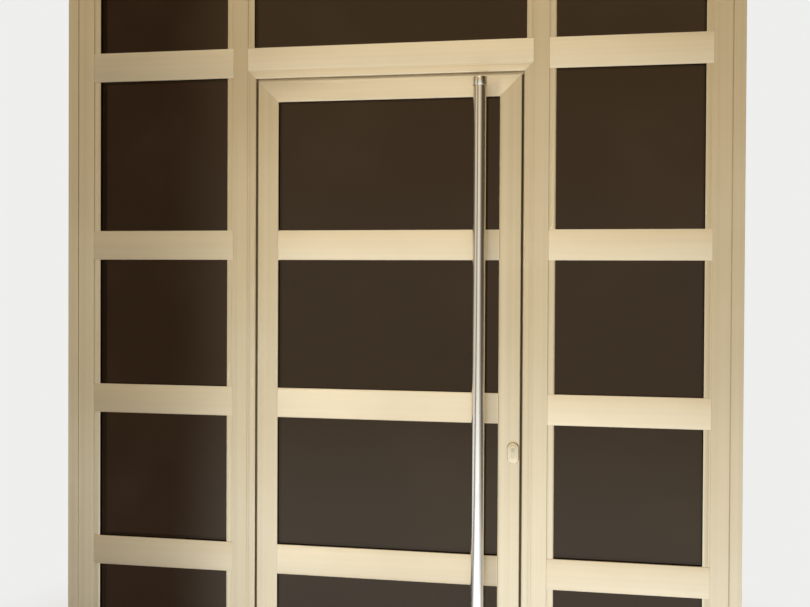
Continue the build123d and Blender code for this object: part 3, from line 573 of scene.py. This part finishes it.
dress("lock_case", "leaf", (zinc,), 0.0004)
dress("lock_faceplate", "leaf", (zinc,), 0.0003)
dress("strike_plate", "frame", (zinc,), 0.0003)
dress("deadbolt", "deadbolt", (zinc,), 0.0008, 3)
dress("latch_bolt", "latch", (zinc,), 0.0005, 3)


# Escutcheons
# Pill-shaped shields of cast aluminium, anodised like the leaf, on both faces of the lock
# stile. The outer one has a raised boss round the cylinder, and both have soft rims.

SHIELD, BOSS = (0.038, 0.070), (0.026, 0.054)
SHIELD_RIM, BOSS_RIM = 0.0028, 0.0009
OUTSIDE, BOSS_FACE, INSIDE = -0.006, -0.008, 0.069
KEY_GAP = 0.0002


def pill(mesh, width, height, y):
    """The edges of a pill-shaped outline, upright on the middle of the escutcheon."""
    place = Matrix.Translation((LOCK_X, y, SHIELD_Z)) @ Matrix.Rotation(math.radians(90), 4, "X")
    turn = place @ Matrix.Rotation(math.pi / 64, 4, "Z")
    ring = bmesh.ops.create_circle(mesh, segments=64, radius=width / 2, matrix=turn)["verts"]
    for vert in ring:
        vert.co.z += math.copysign((height - width) / 2, vert.co.z - SHIELD_Z)
    return {line for vert in ring for line in vert.link_edges}


def round_hole(mesh, radius, y):
    """The edges of a circle round the axis of the cylinder."""
    place = Matrix.Translation((LOCK_X, y, LOCK_Z)) @ Matrix.Rotation(math.radians(90), 4, "X")
    ring = bmesh.ops.create_circle(mesh, segments=48, radius=radius, matrix=place)["verts"]
    return {line for vert in ring for line in vert.link_edges}


def keyhole_profile(mesh, gap, y):
    """The edges of the cylinder's profile: a round barrel with a lobe under it."""
    lobe, barrel, drop = 0.005 + gap, 0.0085 + gap, 0.0195
    foot = (LOCK_X, y, LOCK_Z - drop)
    first = mesh.verts.new((LOCK_X - lobe, y, LOCK_Z - drop))
    made = bmesh.ops.spin(mesh, geom=[first], cent=foot, axis=(0, -1, 0), angle=math.pi, steps=16)
    corner = [item for item in made["geom_last"] if isinstance(item, bmesh.types.BMVert)][0]
    neck = mesh.verts.new((LOCK_X + lobe, y, LOCK_Z - math.sqrt(barrel ** 2 - lobe ** 2)))
    mesh.edges.new((corner, neck))
    sweep = math.tau - 2 * math.asin(lobe / barrel)
    made = bmesh.ops.spin(mesh, geom=[neck], cent=(LOCK_X, y, LOCK_Z), axis=(0, -1, 0),
                          angle=sweep, steps=40)
    last = [item for item in made["geom_last"] if isinstance(item, bmesh.types.BMVert)][0]
    mesh.edges.new((last, first))
    lines, reached = set(), [first]
    while reached:
        vert = reached.pop()
        for line in vert.link_edges:
            if line not in lines:
                lines.add(line)
                reached.append(line.other_vert(vert))
    return lines


def plate(mesh, outline, hole, front, back, rim):
    """A plate with a hole, its outline rounded at the front."""
    filled = bmesh.ops.triangle_fill(mesh, edges=[*outline, *hole], use_beauty=True)["geom"]
    faces = [item for item in filled if isinstance(item, bmesh.types.BMFace)]
    carried(mesh, faces, (0, back - front, 0))
    if rim:
        bmesh.ops.bevel(mesh, geom=list(outline), offset=rim, segments=5, profile=0.5,
                        affect="EDGES", material=-1)


shield_finish = Finish("champagne_casting", Metallic=0.85)
peel = shield_finish.noise((160, 160, 160), 3.0)
wear = shield_finish.noise((30, 30, 30), 3.0, 2.0)
shield_finish.vary(Base_Color=shield_finish.mixed(wear, tone(226, 210, 176), tone(214, 196, 160)))
shield_finish.vary(Roughness=0.2 + peel * 0.08)
shield_finish.vary(Normal=shield_finish.relief(peel, 0.1, 0.00008))

shields = bmesh.new()
plate(shields, pill(shields, *SHIELD, OUTSIDE), keyhole_profile(shields, KEY_GAP, OUTSIDE),
      OUTSIDE, 0.002, SHIELD_RIM)
plate(shields, pill(shields, *BOSS, BOSS_FACE), keyhole_profile(shields, KEY_GAP, BOSS_FACE),
      BOSS_FACE, -0.005, BOSS_RIM)
plate(shields, pill(shields, *SHIELD, INSIDE), round_hole(shields, 0.0067, INSIDE),
      INSIDE, 0.061, SHIELD_RIM)
placed("escutcheons_form", closed(shields), "leaf",
       (shield_finish,), ["escutcheons"])


# Cylinder and thumb turn
# A nickel-plated brass half cylinder with a key plug, worked by a key outside and by a flat
# grip inside. The cam between them moves the deadbolt.

nickel = Finish("satin_nickel", Metallic=1.0)
satin = nickel.noise((900, 900, 60), 2.0)
nickel.vary(Base_Color=nickel.mixed(satin, tone(208, 193, 160), tone(222, 207, 174)))
nickel.vary(Roughness=0.24 + satin * 0.1)
nickel.vary(Normal=nickel.relief(satin, 0.1, 0.00004))

FACE = -0.007
PLUG, PLUG_BORE = 0.0065, 0.0066
SLOT_END = 0.005
CAM, SPINDLE = (0.036, 0.046), (0.046, 0.0725)
cylinder = bmesh.new()
plate(cylinder, keyhole_profile(cylinder, 0, FACE), round_hole(cylinder, PLUG_BORE, FACE),
      FACE, 0.0355, 0.0003)
soften(placed("cylinder_body_form", closed(cylinder), "leaf", (nickel,),
              ["cylinder_body"]), 0.0002)

plug = bmesh.new()
slot_place = (Matrix.Translation((LOCK_X, FACE, LOCK_Z)) @
              Matrix.Rotation(math.radians(90), 4, "X") @
              Matrix.Diagonal((0.0013, 0.0045, 1, 1)) @ Matrix.Scale(math.sqrt(2), 4) @
              Matrix.Rotation(math.radians(45), 4, "Z"))
keyway = bmesh.ops.create_circle(plug, segments=4, radius=1, matrix=slot_place)["verts"]
keyway_lines = {line for vert in keyway for line in vert.link_edges}
plate(plug, round_hole(plug, PLUG, FACE), keyway_lines, FACE, SLOT_END, 0.0003)
turned(plug, [(0, SLOT_END), (PLUG, SLOT_END), (PLUG, CAM[0]), (0, CAM[0])],
       (LOCK_X, 0, LOCK_Z), (0, 1, 0))
bar(plug, (LOCK_X - 0.004, CAM[0], LOCK_Z - 0.0135), (LOCK_X + 0.004, CAM[1], LOCK_Z + 0.006))
placed("cylinder_plug_form", closed(plug), "cylinder_turn", (nickel,),
       ["cylinder_plug"])

turn = bmesh.new()
turned(turn, [(0, SPINDLE[0]), (PLUG, SPINDLE[0]), (PLUG, SPINDLE[1]), (0, SPINDLE[1])],
       (LOCK_X, 0, LOCK_Z), (0, 1, 0))
bar(turn, (LOCK_X - 0.007, 0.072, LOCK_Z - 0.018), (LOCK_X + 0.007, 0.090, LOCK_Z + 0.018),
    0.0065)
soften(placed("thumb_turn_form", closed(turn), "cylinder_turn", (nickel,),
              ["thumb_turn"]), 0.0015, 4)


# Pull bar
# A stainless steel tube nearly as tall as the leaf, with a closed collar at each end. Three
# round standoffs hold it clear of the leaf, each with a bolt from the inside.

BAR_X, BAR_Y = 0.312, -0.073
TUBE, TUBE_WALL = 0.021, 0.002
COLLAR, COLLAR_DEEP, COLLAR_END = 0.0229, 0.027, 0.003
TUBE_FIT = TUBE + 0.0001
SUPPORTS = (0.060, 1.140, 2.193)
STANDOFF, BOLT, FLANGE, HEX = 0.011, 0.0047, 0.0092, 0.0095
SOCKET, BOLT_END, HEAD_FOOT, HEAD_TALL = 0.002, 0.0612, 0.0617, 0.0057
tube_low, tube_high = [corner[2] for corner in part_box("pull_bar")]

steel = Finish("stainless_steel", Metallic=1.0, Anisotropic=0.6, Anisotropic_Rotation=0.25)
brushing = steel.noise((3, 3, 1500), 2.0)
pull = steel.noise((500, 500, 2), 2.0, 3.0)
touch = steel.between(steel.noise((18, 18, 6), 4.0, 8.0), 0.5, 0.75)
steel.vary(Base_Color=steel.mixed(touch * 0.35, tone(241, 233, 217), tone(220, 212, 194)))
steel.vary(Roughness=0.16 + brushing * 0.05 + touch * 0.06)
steel.vary(Normal=steel.relief(brushing * 0.7 + pull * 0.3, 0.1, 0.00003))

tube = bmesh.new()
turned(tube, [(TUBE - TUBE_WALL, tube_low), (TUBE, tube_low), (TUBE, tube_high),
              (TUBE - TUBE_WALL, tube_high)], (BAR_X, BAR_Y, 0), (0, 0, 1), 128)
placed("pull_bar_tube", closed(tube), "leaf", (steel,), ["pull_bar"])

collars = bmesh.new()
collar_low, collar_high = [corner[2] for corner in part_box("pull_bar_collars")]
for end, way in ((collar_low, 1), (collar_high, -1)):
    outline = [(0, 0), (COLLAR - 0.0015, 0), (COLLAR - 0.0005, 0.0004), (COLLAR, 0.0015),
               (COLLAR, 0.026), (COLLAR - 0.0004, 0.0267), (COLLAR - 0.001, COLLAR_DEEP),
               (TUBE_FIT, COLLAR_DEEP), (TUBE_FIT, COLLAR_END), (0, COLLAR_END)]
    turned(collars, outline, (BAR_X, BAR_Y, end), (0, 0, way), 128)
placed("pull_bar_collars_form", closed(collars), "leaf", (steel,),
       ["pull_bar_collars"])

standoffs, bolts = bmesh.new(), bmesh.new()
for height in SUPPORTS:
    start = BAR_Y + (0.0175 if height == SUPPORTS[1] else 0.0200)
    outline = [(0, start), (STANDOFF, start), (STANDOFF, 0.0012), (0.0104, SOCKET), (0, SOCKET)]
    turned(standoffs, outline, (BAR_X, 0, height), (0, 1, 0))
    turned(bolts, [(0, SOCKET), (BOLT, SOCKET), (BOLT, BOLT_END), (0, BOLT_END)],
           (BAR_X, 0, height), (0, 1, 0), 32)
    turned(bolts, [(0, 0.061), (FLANGE, 0.061), (FLANGE, HEAD_FOOT), (0, HEAD_FOOT)],
           (BAR_X, 0, height), (0, 1, 0), 48)
    spot = (Matrix.Translation((BAR_X, HEAD_FOOT, height)) @
            Matrix.Rotation(math.radians(-90), 4, "X"))
    flats = bmesh.ops.create_circle(bolts, cap_ends=True, segments=6, radius=HEX,
                                    matrix=spot)["verts"]
    head = carried(bolts, list(flats[0].link_faces), (0, HEAD_TALL, 0))
    top = {line for vert in head for line in vert.link_edges if line.other_vert(vert) in head}
    bmesh.ops.bevel(bolts, geom=list(top), offset=0.0009, segments=3, profile=0.5,
                    affect="EDGES", material=-1)
placed("pull_bar_standoffs_form", closed(standoffs), "leaf", (steel,),
       ["pull_bar_standoffs"])
placed("pull_bar_bolts_form", closed(bolts), "leaf", (steel,),
       ["pull_bar_bolts"])


# Floor, light and camera
# A plain pale floor and backdrop, dim or bright surroundings for the metal and glass to
# mirror, and soft lamps. The camera is outside at eye height, right of the leaf's middle.

EYE = (0.449, -2.67, 1.557)
BACKDROP = (0.86, 0.86, 0.85, 1)
HORIZON, SHADE = (0.84, 0.83, 0.79, 1), (0.045, 0.028, 0.012, 1)
NEAR_FLOOR, HIGH_UP = (1.40, 1.52, 1.74, 1), (0.75, 0.62, 0.44, 1)
FADE = (0.7, 2.4)


def sides(light, point):
    """How bright the surroundings are round about, with left and right as in the photo:
    bright straight in front, dim to the left of that and bright again farther left, half
    as bright to the right, dark beside the screen, and brighter again behind it."""
    parts = {"Vector": point}
    x = light.node("ShaderNodeSeparateXYZ", {}, parts, "X")
    y = light.node("ShaderNodeSeparateXYZ", {}, parts, "Y")
    across = light.node("ShaderNodeMath", {"operation": "ARCTAN2"}, {0: x, 1: 0 - y})
    ahead = 0.1 + light.between(across, -0.43, -0.34) * 0.9
    ahead = ahead - light.between(across, 0.24, 0.38) * 0.6
    far_left = light.between(across, -0.58, -0.78)
    front = (ahead + far_left * 0.75) * light.between(across, -1.5, -1.2)
    front = front * light.between(across, 0.78, 0.54)
    behind = light.between(across, -1.9, -2.4) + light.between(across, 1.9, 2.4)
    return 0.06 + front * 0.94 + behind * 0.66


def ray_of(light, *kinds):
    """One for rays of these kinds, and nought for the others."""
    total = 0
    for kind in kinds:
        total = light.node("ShaderNodeLightPath", {}, {}, f"Is {kind} Ray") + total
    return light.between(total, 0, 1)


floor_finish = Finish("pale_floor", Roughness=0.9)
mottle = floor_finish.noise((1.5, 1.5, 1.5), 4.0)
pale_tones = tone(226, 224, 220), tone(232, 230, 226)
floor_finish.vary(Base_Color=floor_finish.mixed(mottle, *pale_tones))
spot = floor_finish.node("ShaderNodeTexCoord", {}, {}, "Object")
away = floor_finish.node("ShaderNodeVectorMath", {"operation": "LENGTH"}, {0: spot}, "Value")
bright = floor_finish.mixed(floor_finish.between(away, 9.0, 1.0), HORIZON, NEAR_FLOOR)
mirrored_eye = {0: spot, 1: (EYE[0], -EYE[1], 0)}
seen = floor_finish.node("ShaderNodeVectorMath", {"operation": "SUBTRACT"}, mirrored_eye)
inside = floor_finish.between(floor_finish.place("Y"), 0.0, 0.6)
glow_share = sides(floor_finish, seen) * (1 - inside) + inside * 0.72
shine = floor_finish.mixed(glow_share, SHADE, bright)
bounced = ray_of(floor_finish, "Glossy") * (1 - ray_of(floor_finish, "Transmission"))
glow_colour = floor_finish.mixed(bounced, BACKDROP, shine)
glow = floor_finish.node("ShaderNodeEmission", {}, {"Color": glow_colour})
open_floor = floor_finish.between(away, *FADE) * ray_of(floor_finish, "Camera", "Transmission")
share = open_floor + floor_finish.between(away, 0.2, 1.1) * bounced
blend = floor_finish.node("ShaderNodeMixShader", {}, {0: share, 2: glow})
floor_finish.tree.links.new(floor_finish.shader.outputs[0], blend.socket.node.inputs[1])
surface = floor_finish.tree.nodes["Material Output"].inputs["Surface"]
floor_finish.tree.links.new(blend.socket, surface)
ground = bmesh.new()
bmesh.ops.create_circle(ground, cap_ends=True, segments=96, radius=60)
floor_data = bpy.data.meshes.new("floor")
ground.to_mesh(floor_data)
ground.free()
floor = bpy.data.objects.new("floor", floor_data)
floor_data.materials.append(floor_finish.material)
bpy.context.collection.objects.link(floor)

world = bpy.data.worlds.new("surrounding")
world.use_nodes = True
bpy.context.scene.world = world
air = Nodes(world.node_tree)
way = air.node("ShaderNodeTexCoord", {}, {}, "Generated")
rise = air.node("ShaderNodeSeparateXYZ", {}, {"Vector": way}, "Z")
above = air.mixed(air.between(rise, 0.0, 0.3), HORIZON, HIGH_UP)
lit = air.mixed(sides(air, way), SHADE, above)
shown = air.mixed(ray_of(air, "Camera", "Transmission"), lit, BACKDROP)
air.feed(world.node_tree.nodes["Background"].inputs["Color"], shown)


def lamp(name, place, towards, width, height, power, mirrored=True, spread=180,
         colour=(1, 1, 1)):
    """A soft rectangular lamp that faces a point. One that isn't mirrored doesn't show in
    metal or glass."""
    data = bpy.data.lights.new(name, "AREA")
    data.shape = "RECTANGLE"
    data.size = width
    data.size_y = height
    data.energy = power
    data.color = colour
    data.spread = math.radians(spread)
    holder = bpy.data.objects.new(name, data)
    holder.visible_transmission = False
    holder.visible_glossy = mirrored
    facing = (Vector(towards) - Vector(place)).to_track_quat("-Z", "Y")
    holder.matrix_world = Matrix.Translation(place) @ facing.to_matrix().to_4x4()
    bpy.context.collection.objects.link(holder)


lamp("front_top", (-0.8, -4.2, 6.4), (0, 0, 1.0), 4.0, 2.4, 24)
lamp("overhead", (0.0, 0.0, 6.0), (0, 0.001, 0), 5.0, 5.0, 110, False)
WARM, COOL = (1, 0.93, 0.8), (0.88, 1, 1.2)
lamp("left_key", (-1.2, -3.1, 1.8), (0.6, 0, 1.5), 0.4, 1.0, 9, False, 63, WARM)
lamp("left_key_low", (-1.2, -3.1, 0.5), (0.6, 0, 0.3), 0.4, 1.0, 9, False, 63, COOL)
lamp("back_soft", (1.5, 4.0, 3.4), (0, 0, 1.2), 3.0, 3.0, 80, False)

SENSOR, FOCAL_PIXELS, PHOTO_WIDTH = 36, 811, 810
YAW, PITCH, ROLL = math.radians(8.21), math.radians(-0.53), math.radians(0.30)
camera_data = bpy.data.cameras.new("camera")
camera_data.sensor_width = SENSOR
camera_data.lens = SENSOR * FOCAL_PIXELS / PHOTO_WIDTH
camera_data.shift_y = -0.0188
camera = bpy.data.objects.new("camera", camera_data)
camera.matrix_world = (Matrix.Translation(EYE) @ Matrix.Rotation(YAW, 4, "Z") @
                       Matrix.Rotation(math.pi / 2 + PITCH, 4, "X") @
                       Matrix.Rotation(ROLL, 4, "Z"))
bpy.context.collection.objects.link(camera)
bpy.context.scene.camera = camera
bpy.context.scene.view_settings.view_transform = "Standard"
